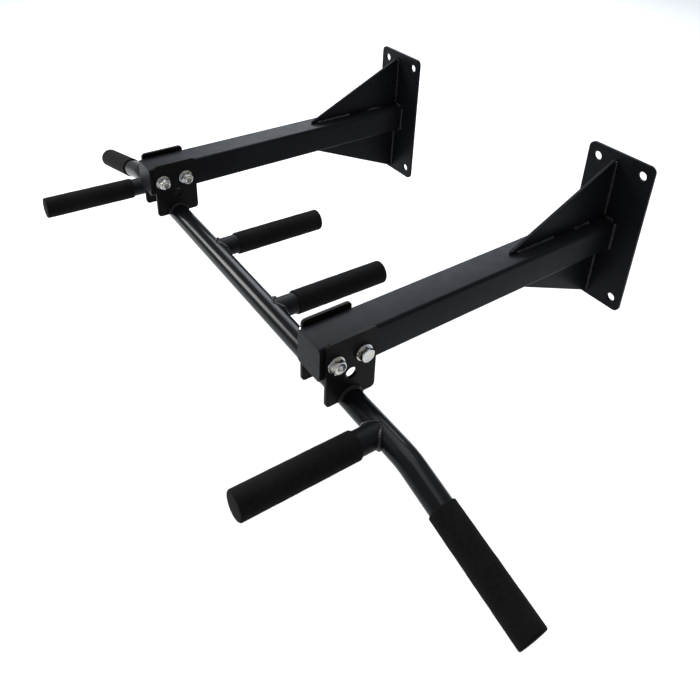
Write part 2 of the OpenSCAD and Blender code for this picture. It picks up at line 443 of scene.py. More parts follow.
@dataclass(frozen=True)
class PowderCoat:
    """Baked powder paint: faint orange peel, cloudy sheen and a little dust.

    In every finish a scale is patches to the metre, a depth is metres, and wear is how far the
    roughness strays either way.
    """

    name: str
    colour: Colour
    pale: Colour
    rough: float
    specular: float
    peel: float = 0.5
    wear: Pair = (-0.05, 0.08)
    wear_scale: float = 60.0
    cloud_scale: float = 9.0
    dust_scale: float = 1500.0
    dust_share: float = 0.35
    dust_gain: float = 2.2
    dust_lift: float = 0.01
    peel_scale: float = 420.0
    peel_depth: float = 0.12 * MM
    tooth_scale: float = 2600.0
    tooth_depth: float = 0.04 * MM

    def material(self) -> bpy.types.Material:
        """Builds the paint.

        Returns:
            The material.
        """
        r = Recipe(self.name)
        clouds = r.spread(r.noise(self.cloud_scale, 4.0, 0.55), 0.35, 0.7)
        specks = r.spread(r.noise(self.dust_scale, 1.0), 0.66, 0.74, 0.0, self.dust_share)
        dusty = tuple(min(1.0, self.dust_gain * c + self.dust_lift) for c in self.pale)
        span = (self.rough + w for w in self.wear)
        peel = r.bump(r.noise(self.peel_scale, 2.0), self.peel, self.peel_depth)
        return r.surface(
            Base_Color=r.tint(specks, r.tint(clouds, self.colour, self.pale), dusty),
            Roughness=r.spread(r.noise(self.wear_scale, 5.0, 0.7), 0.3, 0.75, *span),
            Specular_IOR_Level=self.specular,
            Normal=r.bump(r.noise(self.tooth_scale, 1.0), 0.25, self.tooth_depth, peel),
        )


@dataclass(frozen=True)
class BarGloss:
    """Glossy black paint on drawn tube, with faint streaks along the tube."""

    name: str = "bar gloss black"
    colour: Colour = (0.0030, 0.0033, 0.0038)
    pale: Colour = (0.0056, 0.0060, 0.0068)
    rough: float = 0.22
    wear: Pair = (-0.04, 0.05)
    specular: float = 0.09
    coat: float = 0.04
    coat_rough: float = 0.12
    cloud_scale: float = 14.0
    scuff_scale: float = 35.0
    scuff_rough: float = 0.10
    streak_scale: float = 90.0
    streak_stretch: tuple[float, float, float] = (0.06, 1.0, 1.0)
    streak_depth: float = 0.06 * MM
    peel_scale: float = 260.0
    peel_depth: float = 0.10 * MM

    def material(self) -> bpy.types.Material:
        """Builds the paint.

        Returns:
            The material.
        """
        r = Recipe(self.name)
        clouds = r.spread(r.noise(self.cloud_scale, 4.0), 0.35, 0.7)
        streaks = r.noise(self.streak_scale, 4.0, 0.6, r.stretched(self.streak_stretch))
        sheen = r.spread(streaks, 0.3, 0.7, *(self.rough + w for w in self.wear))
        scuff = r.spread(r.noise(self.scuff_scale, 6.0, 0.75), 0.62, 0.72, 0.0, self.scuff_rough)
        peel = r.bump(r.noise(self.peel_scale, 2.0), 0.35, self.peel_depth)
        return r.surface(
            Base_Color=r.tint(clouds, self.colour, self.pale),
            Roughness=r.add("Math", {0: sheen, 1: scuff}, operation="ADD"),
            Specular_IOR_Level=self.specular,
            Coat_Weight=self.coat,
            Coat_Roughness=self.coat_rough,
            Normal=r.bump(streaks, 0.2, self.streak_depth, peel),
        )


@dataclass(frozen=True)
class ZincPlate:
    """Bright zinc plating with a faint warm and cool bloom."""

    name: str = "bright zinc"
    warm: Colour = (0.60, 0.57, 0.48)
    cool: Colour = (0.50, 0.53, 0.58)
    dull: Colour = (0.40, 0.39, 0.36)
    rough: float = 0.20
    wear: Pair = (-0.08, 0.12)
    wear_scale: float = 700.0
    bloom_scale: float = 110.0
    dull_scale: float = 500.0
    dull_share: float = 0.5
    lay_scale: float = 1800.0
    lay_stretch: tuple[float, float, float] = (1.0, 0.25, 1.0)
    lay_depth: float = 0.05 * MM

    def material(self) -> bpy.types.Material:
        """Builds the plating.

        Returns:
            The material.
        """
        r = Recipe(self.name)
        bloom = r.spread(r.noise(self.bloom_scale), 0.35, 0.65)
        dull = r.spread(r.noise(self.dull_scale, 4.0, 0.7), 0.55, 0.75, 0.0, self.dull_share)
        span = (self.rough + w for w in self.wear)
        lay = r.noise(self.lay_scale, 2.0, 0.6, r.stretched(self.lay_stretch))
        return r.surface(
            Base_Color=r.tint(dull, r.tint(bloom, self.warm, self.cool), self.dull),
            Roughness=r.spread(r.noise(self.wear_scale), 0.3, 0.7, *span),
            Metallic=1.0,
            Normal=r.bump(lay, 0.3, self.lay_depth),
        )


@dataclass(frozen=True)
class GripFoam:
    """Matt closed-cell foam rubber: fine open pores over a soft, uneven skin."""

    name: str = "grip foam"
    colour: Colour = (0.0020, 0.0020, 0.0020)
    pale: Colour = (0.0052, 0.0051, 0.0052)
    rubbed: float = 1.35
    rubbed_share: float = 0.6
    rough: float = 0.80
    wear: Pair = (-0.06, 0.06)
    specular: float = 0.055
    fuzz: float = 0.006
    fuzz_rough: float = 0.5
    cloud_scale: float = 18.0
    pore_scale: float = 1100.0
    pore_depth: float = 0.22 * MM
    skin_scale: float = 260.0
    skin_depth: float = 0.35 * MM

    def material(self) -> bpy.types.Material:
        """Builds the foam.

        Returns:
            The material.
        """
        r = Recipe(self.name)
        pores = r.spread(r.cells(self.pore_scale), 0.0, 0.45)
        skin = r.noise(self.skin_scale, 5.0, 0.65)
        mottle = r.tint(r.spread(skin, 0.35, 0.65), self.colour, self.pale)
        clouds = r.spread(r.noise(self.cloud_scale), 0.45, 0.75, 0.0, self.rubbed_share)
        return r.surface(
            Base_Color=r.tint(clouds, mottle, tuple(self.rubbed * c for c in self.pale)),
            Roughness=r.spread(skin, 0.3, 0.7, *(self.rough + w for w in self.wear)),
            Specular_IOR_Level=self.specular,
            Sheen_Weight=self.fuzz,
            Sheen_Roughness=self.fuzz_rough,
            Normal=r.bump(pores, 0.6, self.pore_depth, r.bump(skin, 0.5, self.skin_depth)),
        )


class Finish(Enum):
    """The finishes; each value is the record's slot, then what sets the finish apart in it."""

    BRACKET = "bracket_paint"
    BRACKET_WELD = "bracket_paint/weld"
    CLAMP = "clamp_paint"
    CLAMP_WELD = "clamp_paint/weld"
    BAR = "bar_paint"
    BAR_WELD = "bar_paint/weld"
    GRIP_STUB = "bar_paint/stub"
    ZINC = "fastener_zinc"
    FOAM = "grip_foam"

    @property
    def slot(self) -> str:
        """The record's material slot."""
        return self.value.split("/")[0]


BLACK: Colour = (0.0035, 0.0037, 0.0045)
DEEP_GREY: Colour = (0.0065, 0.0068, 0.0080)
COOL_BLACKS: tuple[Colour, Colour] = ((0.0036, 0.0038, 0.0050), (0.0058, 0.0062, 0.0082))
WARM_BLACKS: tuple[Colour, Colour] = ((0.0038, 0.0033, 0.0030), (0.0064, 0.0055, 0.0050))
RECIPES: dict[Finish, Union[PowderCoat, BarGloss, ZincPlate, GripFoam]] = {
    Finish.BRACKET: PowderCoat("bracket satin black", *COOL_BLACKS, rough=0.38, specular=0.055),
    Finish.CLAMP: PowderCoat("clamp satin black", *WARM_BLACKS, rough=0.42, specular=0.055),
    Finish.BAR: BarGloss(),
    Finish.GRIP_STUB: PowderCoat("grip tube black", BLACK, DEEP_GREY, rough=0.42, specular=0.08),
    Finish.BRACKET_WELD: PowderCoat("bracket weld black", BLACK, DEEP_GREY, 0.24, 0.20, peel=0.9),
    Finish.CLAMP_WELD: PowderCoat("clamp weld black", BLACK, DEEP_GREY, 0.26, 0.18, peel=0.9),
    Finish.BAR_WELD: PowderCoat("bar weld black", BLACK, DEEP_GREY, 0.20, 0.30, peel=0.9),
    Finish.ZINC: ZincPlate(),
    Finish.FOAM: GripFoam(),
}


@dataclass
class Workshop:
    """Dresses finished pieces and fixes them to the rigid body."""

    nodes: Mapping[str, bpy.types.Object]
    materials: dict[Finish, bpy.types.Material] = field(default_factory=dict)
    place_digits: int = 6
    flat_degrees: float = 0.5
    corner_degrees: float = 40.0
    sharp_degrees: float = 30.0
    edge_steps: int = 2

    def material(self, finish: Finish) -> bpy.types.Material:
        """The one material of a finish, made when first asked for.

        Args:
            finish: The finish.

        Returns:
            Its material.
        """
        if finish not in self.materials:
            self.materials[finish] = RECIPES[finish].material()
        return self.materials[finish]

    def hand_over(self, piece: bpy.types.Object, finish: Finish, *stands_for: str) -> bpy.types.Object:
        """Paints a piece, fixes it to the rigid body and hides the solid nodes that it stands for.

        Args:
            piece: The finished piece.
            finish: Its finish.
            *stands_for: The solid nodes that it hides.

        Returns:
            The piece.
        """
        piece.data.materials.clear()
        piece.data.materials.append(self.material(finish))
        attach(piece, BODY)
        if stands_for:
            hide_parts(*stands_for)
        LOG.info("%s: %d faces, %s", piece.name, len(piece.data.polygons), finish.name)
        return piece

    def paint_node(self, node: str, finish: Finish) -> None:
        """Gives a solid node that stays in sight its finish.

        Args:
            node: The node's name.
            finish: Its finish.
        """
        piece = self.nodes[node]
        if not piece.material_slots:
            piece.data.materials.append(None)
        for entry in piece.material_slots:
            entry.material = self.material(finish)
        LOG.info("%s: painted %s", node, finish.name)

    def eased(self, node: str, finish: Finish, width: float) -> bpy.types.Object:
        """A copy of a flat-sided node with its sharp edges eased.

        The node's loose triangles are merged at equal places, the flat ones are joined again,
        and a bevel of the given width goes along every edge that turns by over corner_degrees.

        Args:
            node: The node's name.
            finish: Its finish.
            width: Width of the eased edge.

        Returns:
            The piece, which stands for the node.
        """
        source = self.nodes[node].data
        source.calc_loop_triangles()
        places = np.zeros(len(source.vertices) * 3, np.float32)
        source.vertices.foreach_get("co", places)
        corners = np.zeros(len(source.loop_triangles) * 3, np.int32)
        source.loop_triangles.foreach_get("vertices", corners)
        places = np.round(places.reshape(-1, 3), self.place_digits)
        merged, number = np.unique(places, axis=0, return_inverse=True)
        faces = number.reshape(-1)[corners].reshape(-1, 3)
        solid = (faces != np.roll(faces, -1, axis=1)).all(axis=1)
        mesh = bpy.data.meshes.new(node + "_eased")
        mesh.from_pydata(merged.tolist(), [], faces[solid].tolist())
        work = bmesh.new()
        work.from_mesh(mesh)
        bmesh.ops.dissolve_limit(
            work, angle_limit=math.radians(self.flat_degrees), verts=work.verts, edges=work.edges,
            use_dissolve_boundaries=False,
        )
        work.to_mesh(mesh)
        work.free()
        piece = link_mesh(node + "_eased", mesh, self.sharp_degrees)
        bevel = piece.modifiers.new("eased edges", "BEVEL")
        bevel.width, bevel.segments = width, self.edge_steps
        bevel.limit_method, bevel.angle_limit = "ANGLE", math.radians(self.corner_degrees)
        bevel.harden_normals = True
        return self.hand_over(piece, finish, node)


# ------------------------------------------------------------------ where things are


@dataclass(frozen=True)
class Box:
    """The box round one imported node."""

    low: np.ndarray
    high: np.ndarray

    @classmethod
    def of(cls, node: str) -> "Box":
        """Reads a node's box.

        Args:
            node: The node's name.

        Returns:
            The box.
        """
        return cls(*(np.array(corner, float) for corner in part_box(node)))

    @property
    def middle(self) -> np.ndarray:
        """Centre of the box."""
        return (self.low + self.high) / 2


@dataclass(frozen=True)
class ArmPlace:
    """Boxes of one arm's tube, gussets and clamp plates."""

    side: Side
    tube: Box
    upper: Box
    lower: Box
    outer: Box
    inner: Box

    @classmethod
    def read(cls, side: Side) -> "ArmPlace":
        """Reads one arm's boxes.

        Args:
            side: The arm.

        Returns:
            Its places.
        """
        parts = ("arm_tube", "upper_gusset", "lower_gusset", "outer_clamp_plate", "inner_clamp_plate")
        return cls(side, *(Box.of(f"{side.word}_{part}") for part in parts))


@dataclass(frozen=True)
class BarPlace:
    """The bar's axis, its bends and the grips' places along it."""

    middle: np.ndarray
    radius: float
    bore: float = 13.0 * MM
    tilt: float = math.radians(1.5)
    bend_point: float = 408.0 * MM
    bend_angle: float = math.radians(15.0)
    bend_radius: float = 100.0 * MM
    leg_end: float = 208.0 * MM

    @classmethod
    def read(cls) -> "BarPlace":
        """Reads the bar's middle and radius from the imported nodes.

        Returns:
            The bar's place.
        """
        bar, plate = Box.of("main_bar"), Box.of("right_outer_clamp_plate")
        grip = Box.of("right_inner_grip_tube")
        radius = float(grip.high[0] - grip.low[0]) / 2
        return cls(np.array([bar.middle[0], plate.middle[1], bar.high[2] - radius]), radius)

    @property
    def setback(self) -> float:
        """From a bend's start to where its two straight lines would cross."""
        return self.bend_radius * math.tan(self.bend_angle / 2)

    @property
    def bend_start(self) -> float:
        """From the middle to where a bend starts."""
        return self.bend_point - self.setback

    @property
    def bend_length(self) -> float:
        """Length of a bend along its centre line."""
        return self.bend_radius * self.bend_angle

    def place(self, points: np.ndarray) -> np.ndarray:
        """Turns points about the bar's axis by the grips' tilt and moves them to the bar.

        Args:
            points: Points in the bar's own frame, with -Y towards the room.

        Returns:
            Points in the solid model's frame.
        """
        return self.turn(points) + self.middle

    def turn(self, vectors: np.ndarray) -> np.ndarray:
        """Turns directions about X so that -Y rises by the tilt.

        Args:
            vectors: Directions in the bar's own frame.

        Returns:
            The turned directions.
        """
        c, s = math.cos(self.tilt), math.sin(self.tilt)
        return np.asarray(vectors, float) @ np.array([[1, 0, 0], [0, c, -s], [0, s, c]])

    def grip_x(self, side: Side, reach: Reach) -> float:
        """How far along X a hand grip stands from the bar's middle.

        Args:
            side: The grip's side.
            reach: Which grip.

        Returns:
            The signed distance.
        """
        return float(Box.of(f"{side.word}_{reach.word}_grip_tube").middle[0] - self.middle[0])


# ------------------------------------------------------------------ the bar


@dataclass
class MainBar:
    """The bent round tube under both arms."""

    place: BarPlace
    cols: int = 96
    straight_rows: int = 60
    bend_rows: int = 24
    leg_rows: int = 16

    def centre_line(self, s: np.ndarray) -> tuple[np.ndarray, np.ndarray]:
        """Centre line and the direction square to it, in the bar's own frame.

        With a = |s|: straight to the bend's start, then an arc of the bend radius whose angle
        grows as arc length over radius, then straight again at the full bend angle.

        Args:
            s: Signed lengths from the middle.

        Returns:
            The points, and the unit normals in the plane of the bend.
        """
        b = self.place
        a, sign = np.abs(s), np.sign(s)
        turn = np.clip((a - b.bend_start) / b.bend_radius, 0.0, b.bend_angle)
        leg = np.maximum(a - b.bend_start - b.bend_length, 0.0)
        x = np.minimum(a, b.bend_start) + b.bend_radius * np.sin(turn) + leg * np.cos(turn)
        z = -b.bend_radius * (1 - np.cos(turn)) - leg * np.sin(turn)
        flat = np.zeros_like(x)
        return np.stack([sign * x, flat, z], -1), np.stack([sign * np.sin(turn), flat, np.cos(turn)], -1)

    def rings(self, s: np.ndarray, radius: float) -> np.ndarray:
        """Circles of one radius carried along the centre line.

        A point is line(s) + radius * (cos(t) * normal(s) + sin(t) * Y).

        Args:
            s: Signed lengths from the middle.
            radius: The circles' radius.

        Returns:
            The grid of points in the solid model's frame.
        """
        line, normal = self.centre_line(s)
        t = angles(self.cols)
        across = np.array([0.0, 1.0, 0.0])
        rim = np.cos(t)[None, :, None] * normal[:, None] + np.sin(t)[None, :, None] * across
        return self.place.place(line[:, None] + radius * rim)

    def build(self, shop: Workshop) -> None:
        """Makes the tube, outside and bore, as one ring-shaped shell.

        Args:
            shop: Where it is dressed.
        """
        b = self.place
        bend_end = b.bend_start + b.bend_length
        straight = np.linspace(0, b.bend_start, self.straight_rows, endpoint=False)
        bend = np.linspace(b.bend_start, bend_end, self.bend_rows, endpoint=False)
        leg = np.linspace(bend_end, bend_end + b.leg_end - b.setback, self.leg_rows)
        half = np.concatenate([straight, bend, leg])
        s = np.concatenate([-half[:0:-1], half])
        grid = np.concatenate([self.rings(s, b.radius), self.rings(s[::-1], b.bore)])
        piece = make_object("main_bar_tube", [Shell(grid, ring=True)])
        shop.hand_over(piece, Finish.BAR, "main_bar")


# ------------------------------------------------------------------ grips


@dataclass
class GripSleeve:
    """One closed-ended foam sleeve, soft at both edges and a little uneven along its length."""

    name: str
    node: str
    root: np.ndarray
    axis: np.ndarray
    start: float
    end: float
    bore: float
    radius: float = 18.5 * MM
    wall: float = 4.0 * MM
    lip: float = 1.3 * MM
    bore_lip: float = 0.78 * MM
    nose: float = 2.6 * MM
    nose_sweep: float = 82.0
    dome: float = 0.5 * MM
    core: float = 0.8 * MM
    waver: float = 0.16 * MM
    waves: tuple[Pair, ...] = ((3.1, 0.5), (7.3, 0.3))
    phase: float = 0.0
    sharp_degrees: float = 50.0
    rows: int = 90
    cols: int = 96

    def profile(self) -> np.ndarray:
        """Radius and height from the inner end, out over the lip and the barrel, to the nose.

        The barrel's radius is the full one less the waver, plus slow waves, each given as its
        turns and strength, which fade at both ends. Lip and nose are arcs, and the end face
        is a shallow dome from the nose's edge to the sleeve's full length.

        Returns:
            Rows of radius and height.
        """
        full, floor = self.radius - self.waver, self.end - self.wall
        foot, shoulder = self.start + self.lip, self.end - self.nose - self.dome
        inner = np.array([[0.3 * self.bore, floor], [self.bore, floor], [self.bore, foot]])
        centre = (self.bore + self.bore_lip, self.start + self.bore_lip)
        lip_in = arc(centre, self.bore_lip, 180, 270, 5)
        lip_out = arc((full - self.lip, foot), self.lip, 270, 360, 8)
        h = np.linspace(foot, shoulder, self.rows)[1:-1]
        t = (h - h[0]) / (h[-1] - h[0])
        wave = sum(k * np.sin(2 * math.pi * (turns * t + self.phase)) for turns, k in self.waves)
        barrel = np.stack([full + self.waver * wave * np.sin(math.pi * t), h], -1)
        nose = arc((full - self.nose, shoulder), self.nose, 0, self.nose_sweep, 10)
        face_r = np.linspace(nose[-1, 0], self.core, 9)[1:]
        rise = (1 - (face_r / nose[-1, 0]) ** 2) * (self.end - nose[-1, 1])
        face = np.stack([face_r, nose[-1, 1] + rise], -1)
        return np.vstack([inner, lip_in, lip_out, barrel, nose, face])

    def build(self, shop: Workshop) -> None:
        """Args:
            shop: Where it is dressed.
        """
        axis, profile = unit(self.axis), self.profile()
        first = unit(np.cross(axis, [0.0, 0.0, 1.0]))
        radii = np.repeat(profile[:, :1], self.cols, 1)
        grid = turned(radii, profile[:, 1], self.root, axis, first)
        piece = make_object(self.name, [Shell(grid)], self.sharp_degrees)
        shop.hand_over(piece, Finish.FOAM, self.node)


@dataclass
class Grips:
    """The six grips: bare tube stubs, which keep their solid shape, and their sleeves."""

    place: BarPlace
    sleeve_start: float = 40.0 * MM
    outer_end: float = 196.0 * MM
    inner_end: float = 200.0 * MM
    end_start: float = 64.0 * MM
    end_end: float = 212.0 * MM
    side_phase: float = 0.23
    reach_phase: float = 0.41
    end_phase: Pair = (0.13, 0.5)

    def build(self, shop: Workshop) -> None:
        """Makes all sleeves, each with its own phase of waves, and paints the stubs.

        Args:
            shop: Where they are dressed.
        """
        b = self.place
        ends = {Reach.OUTER: self.outer_end, Reach.INNER: self.inner_end}
        for number, side in enumerate(Side):
            for reach, end in ends.items():
                word = f"{side.word}_{reach.word}_grip"
                root = b.place(np.array([b.grip_x(side, reach), 0.0, 0.0]))
                axis = b.turn(np.array([0.0, reach.value, 0.0]))
                phase = self.side_phase * number + self.reach_phase * (reach.value + 1)
                names = (word + "_foam", word + "_sleeve")
                GripSleeve(*names, root, axis, self.sleeve_start, end, b.radius, phase=phase).build(shop)
                shop.paint_node(word + "_tube", Finish.GRIP_STUB)
            word = f"{side.word}_end_grip"
            root = b.place(np.array([side.value * b.bend_point, 0.0, 0.0]))
            axis = b.turn(np.array([side.value * math.cos(b.bend_angle), 0.0, -math.sin(b.bend_angle)]))
            phase = self.end_phase[0] + self.end_phase[1] * number
            names = (word + "_foam", word + "_sleeve")
            GripSleeve(*names, root, axis, self.end_start, self.end_end, b.radius, phase=phase).build(shop)


# ------------------------------------------------------------------ fasteners


@dataclass
class ClampBolts:
    """Two hexagon bolts with washers and lock nuts through one arm's clamp.

    The dish is the head's raised ring and sunken face, as shares of half the flats.
    """

    arm: ArmPlace
    half_flats: float = 9.0 * MM
    chamfer: float = 1.4 * MM
    chamfer_start: float = 0.97
    chamfer_degrees: float = 30.0
    head: float = 7.5 * MM
    dish: tuple[float, ...] = (0.90, 0.78, 0.70, 0.35)
    dish_depth: float = 0.35 * MM
    thread_radius: float = 6.0 * MM
    thread_depth: float = 0.95 * MM
    thread_length: float = 22.0 * MM
    thread_fade: float = 4.0 * MM
    thread_rows: int = 110
    thread_sharpness: float = 1.3
    thread_crest: float = 0.15
    overlap: float = 0.5 * MM
    pitch: float = 1.75 * MM
    point: float = 1.2 * MM
    point_drop: float = 1.3 * MM
    washer_radius: float = 12.0 * MM
    washer_hole: float = 6.5 * MM
    washer_edge: float = 0.3 * MM
    washer: float = 2.5 * MM
    nut: float = 8.0 * MM
    collar: float = 3.5 * MM
    collar_radius: float = 8.25 * MM
    collar_roll: float = 1.1 * MM
    tail: float = 3.0 * MM
    turns: Pair = (0.21, 0.64)
    nut_turn: float = 0.4
    sharp_degrees: float = 28.0
    cols: int = 72
    bolt_y: Pair = field(init=False)
    height: float = field(init=False)
    stack: float = field(init=False)
    axis: np.ndarray = field(init=False)

    def __post_init__(self) -> None:
        """Reads where the bolts stand from the solid washers and plates."""
        washers = Box.of(f"{self.arm.side.word}_clamp_washers")
        self.bolt_y = (washers.low[1] + self.washer_radius, washers.high[1] - self.washer_radius)
        self.height = washers.middle[2]
        plates = (self.arm.outer, self.arm.inner)
        across = max(plate.high[0] for plate in plates) - min(plate.low[0] for plate in plates)
        self.stack = float(across) / 2
        self.axis = np.array([float(self.arm.side.value), 0.0, 0.0])

    def rings(self, y: float, radii: np.ndarray, heights: np.ndarray) -> np.ndarray:
        """Rings about a bolt's axis, with a radius for each ring and angle.

        Args:
            y: The bolt's place along the arm.
            radii: A row for each ring and a column for each angle.
            heights: Each ring's height.

        Returns:
            The grid of points.
        """
        centre = np.array([self.arm.tube.middle[0], y, self.height])
        return turned(radii, heights, centre, self.axis, np.array([0.0, 1.0, 0.0]))

    def hex_body(
        self, base: float, height: float, both: bool, turn: float
    ) -> tuple[np.ndarray, np.ndarray]:
        """Radii and heights of a chamfered hexagon block.

        A hexagon's radius is half its flats over the cosine of the angle from the nearest flat.
        Each ring takes the smaller of that and a cone's radius, which is chamfer_start of half
        the flats at a chamfered end and grows by the height over tan chamfer_degrees.

        Args:
            base: Height of the block's base.
            height: The block's height.
            both: Whether the base is chamfered too.
            turn: How far the hexagon is turned.

        Returns:
            The radii and the rings' heights.
        """
        t = angles(self.cols)
        sixth = math.pi / 3
        hexagon = self.half_flats / np.cos(np.mod(t + turn, sixth) - sixth / 2)
        ends = np.append(0.0, np.linspace(0.02, 1.0, 9) * self.chamfer)
        up = np.concatenate([ends, [height / 2], height - ends[::-1]])
        slope = 1 / math.tan(math.radians(self.chamfer_degrees))
        narrow = self.chamfer_start * self.half_flats
        cone = narrow + (height - up) * slope
        if both:
            cone = np.minimum(cone, narrow + up * slope)
        return np.minimum(hexagon[None], cone[:, None]), base + up

    def bolt(self, y: float, turn: float) -> list[Shell]:
        """A bolt: hexagon head with a shallow raised face ring, and a threaded shank.

        The thread's radius falls by its depth times a blunted triangle wave of height over
        pitch less angle over a full turn, so it runs as one helix, and fades at its upper end.

        Args:
            y: The bolt's place along the arm.
            turn: How far the head is turned.

        Returns:
            The bolt's shells.
        """
        seat = self.stack + self.washer
        radii, heights = self.hex_body(seat, self.head, False, turn)
        dish = np.outer(self.dish, np.full(self.cols, self.half_flats))
        sink = seat + self.head - np.array([0, 0, 1, 1]) * self.dish_depth
        head = self.rings(y, np.vstack([radii, dish]), np.concatenate([heights, sink]))
        end = -(seat + self.nut + self.collar + self.tail)
        bare = end + self.thread_length
        z = np.append(np.linspace(end, bare, self.thread_rows), seat + self.overlap)
        t = np.linspace(0, 1, self.cols, endpoint=False)
        wave = np.abs(np.mod(z[:, None] / self.pitch - t[None], 1.0) * 2 - 1)
        fade = np.clip((bare - z) / self.thread_fade, 0, 1)[:, None]
        groove = np.clip(wave * self.thread_sharpness - self.thread_crest, 0, 1)
        radii = self.thread_radius - self.thread_depth * groove * fade
        blunt = 1 - np.clip((z - end) / self.point, 0, 1)[:, None]
        radii = np.minimum(radii, self.thread_radius - self.point_drop * blunt)
        return [Shell(head), Shell(self.rings(y, radii, z))]

    def washer_rings(self, y: float, base: float) -> Shell:
        """A flat washer with eased rims.

        Args:
            y: The bolt's place along the arm.
            base: Height of the washer's underside.

        Returns:
            The washer.
        """
        e, r, h, w = self.washer_edge, self.washer_radius, self.washer_hole, self.washer
        loop = np.array([[h, 0], [r - e, 0], [r, e], [r, w - e], [r - e, w], [h + e, w], [h, w - e]])
        radii = np.repeat(loop[:, :1], self.cols, 1)
        return Shell(self.rings(y, radii, base + loop[:, 1]), ring=True)

    def lock_nut(self, y: float, turn: float) -> Shell:
        """A lock nut: chamfered hexagon, then a rolled collar over a nylon ring.

        Rings go up the outside, over the collar's rolled edge, and back down the bore.

        Args:
            y: The bolt's place along the arm.
            turn: How far it is turned.

        Returns:
            The nut.
        """
        top, roll, shank = self.nut + self.collar, self.collar_roll, self.thread_radius
        ring, gap, fit = 0.9 * MM, 0.15 * MM, 0.02 * MM
        radii, heights = self.hex_body(0.0, self.nut, True, turn)
        waist = [[self.collar_radius + 0.25 * MM, self.nut], [self.collar_radius, self.nut + 0.3 * MM]]
        rim = arc((self.collar_radius - roll, top - roll), roll, 0, 110, 10)
        bore = [[shank + ring, top - 0.5 * MM], [shank + gap, top - 0.7 * MM], [shank + fit, 0.0]]
        round_part = np.vstack([waist, rim, bore])
        radii = np.vstack([radii, np.repeat(round_part[:, :1], self.cols, 1)])
        heights = np.concatenate([heights, round_part[:, 1]])
        return Shell(self.rings(y, radii, -(self.stack + self.washer) - heights), ring=True)

    def build(self, shop: Workshop) -> None:
        """Makes the bolts, washers and nuts of this clamp.

        Args:
            shop: Where they are dressed.
        """
        word = self.arm.side.word
        places = tuple(zip(self.bolt_y, self.turns))
        seats = (self.stack, -self.stack - self.washer)
        bolts = [shell for y, turn in places for shell in self.bolt(y, turn)]
        rings = [self.washer_rings(y, base) for y in self.bolt_y for base in seats]
        nuts = [self.lock_nut(y, turn + self.nut_turn) for y, turn in places]
        made = make_object(f"{word}_hex_bolts", bolts, self.sharp_degrees)
        shop.hand_over(made, Finish.ZINC, f"{word}_clamp_bolts")
        made = make_object(f"{word}_flat_washers", rings)
        shop.hand_over(made, Finish.ZINC, f"{word}_clamp_washers")
        made = make_object(f"{word}_lock_nuts", nuts, self.sharp_degrees)
        shop.hand_over(made, Finish.ZINC, f"{word}_clamp_nuts")


# ------------------------------------------------------------------ weld beads


@dataclass
class WeldBead:
    """A rippled weld bead along a path, painted over with the part it joins.

    A share, given along the path, makes it a closed bead of that share of its size.
    """

    path: np.ndarray
    out: np.ndarray
    width: float = 3.9 * MM
    height: float = 4.2 * MM
    pitch: float = 2.6 * MM
    seed: int = 0
    blob: float = 0.25
    start_blob: float = 0.7
    share: Optional[np.ndarray] = None
    deepest: float = -2.0 * MM
    step: float = 0.42 * MM
    knot_gap: float = 6.0 * MM
    sway: Pair = (0.74, 1.14)
    ripple: float = 0.20
    crescent: float = 0.30
    seam: float = 4.0 * MM
    taper: float = 1.2
    reach: float = 1.6
    thinnest: float = 0.03
    cols: int = 20

    def sizes(self, s: np.ndarray, length: np.ndarray) -> np.ndarray:
        """The oval's size by length along the bead and angle round it.

        It is a slow random wave times a sawtooth of length over pitch, shifted across the bead
        so that each ripple is a crescent. A closed bead evens out at its seam and follows its
        share. An open one swells near its ends and tapers as a quarter circle at each.

        Args:
            s: Even lengths along the bead.
            length: The lengths of the path's own points.

        Returns:
            A row for each length and a column for each angle.
        """
        whole = length[-1]
        draw = np.random.default_rng(self.seed)
        knots = max(4, int(whole / self.knot_gap))
        slow = np.interp(s, np.linspace(0, whole, knots), draw.uniform(*self.sway, knots))
        t = angles(self.cols)
        phase = s[:, None] / self.pitch + self.crescent * np.cos(2 * t)[None] + draw.uniform()
        size = slow[:, None] * (1 + self.ripple * (np.mod(phase, 1.0) - 0.5))
        edge = np.minimum(s, whole - s)
        if self.share is not None:
            even = 1 + (size - 1) * np.clip(edge / self.seam, 0, 1)[:, None]
            return even * np.interp(s, length, self.share)[:, None]
        near = np.clip(edge / (self.taper * self.width), 0, 1)
        reach = self.reach * self.width
        swell = np.exp(-(((whole - s) / reach) ** 2)) * self.blob
        swell = swell + np.exp(-((s / reach) ** 2)) * self.blob * self.start_blob
        taper = np.sqrt(1 - (1 - near) ** 2) * (1 - self.thinnest) + self.thinnest
        return size * taper[:, None] * (1 + swell)[:, None]

    def shell(self) -> Shell:
        """The bead as an oval tube of varying size.

        The path is resampled evenly. The oval's own axes are the way out of the corner and
        square to it and the path. Nothing goes deeper than the middle of the wall plate.

        Returns:
            The bead's shell.
        """
        closed = self.share is not None
        steps = np.linalg.norm(np.diff(self.path, axis=0), axis=1)
        length = np.concatenate([[0.0], np.cumsum(steps)])
        s = np.linspace(0, length[-1], max(24, int(length[-1] / self.step)), endpoint=not closed)
        given = (self.path, np.broadcast_to(self.out, self.path.shape))
        line, out = (np.stack([np.interp(s, length, v[:, i]) for i in range(3)], -1) for v in given)
        along = np.gradient(line, axis=0)
        if closed:
            along = (np.roll(line, -1, 0) - np.roll(line, 1, 0)) / 2
        along = unit(along)
        out = unit(out - (out * along).sum(-1, keepdims=True) * along)
        across = np.cross(along, out)
        t = angles(self.cols)
        size = self.sizes(s, length)
        grid = line[:, None] + (size * np.cos(t) * self.height)[..., None] * out[:, None]
        grid = grid + (size * np.sin(t) * self.width)[..., None] * across[:, None]
        grid[..., 1] = np.minimum(grid[..., 1], self.deepest)
        return Shell(grid, ring=closed)


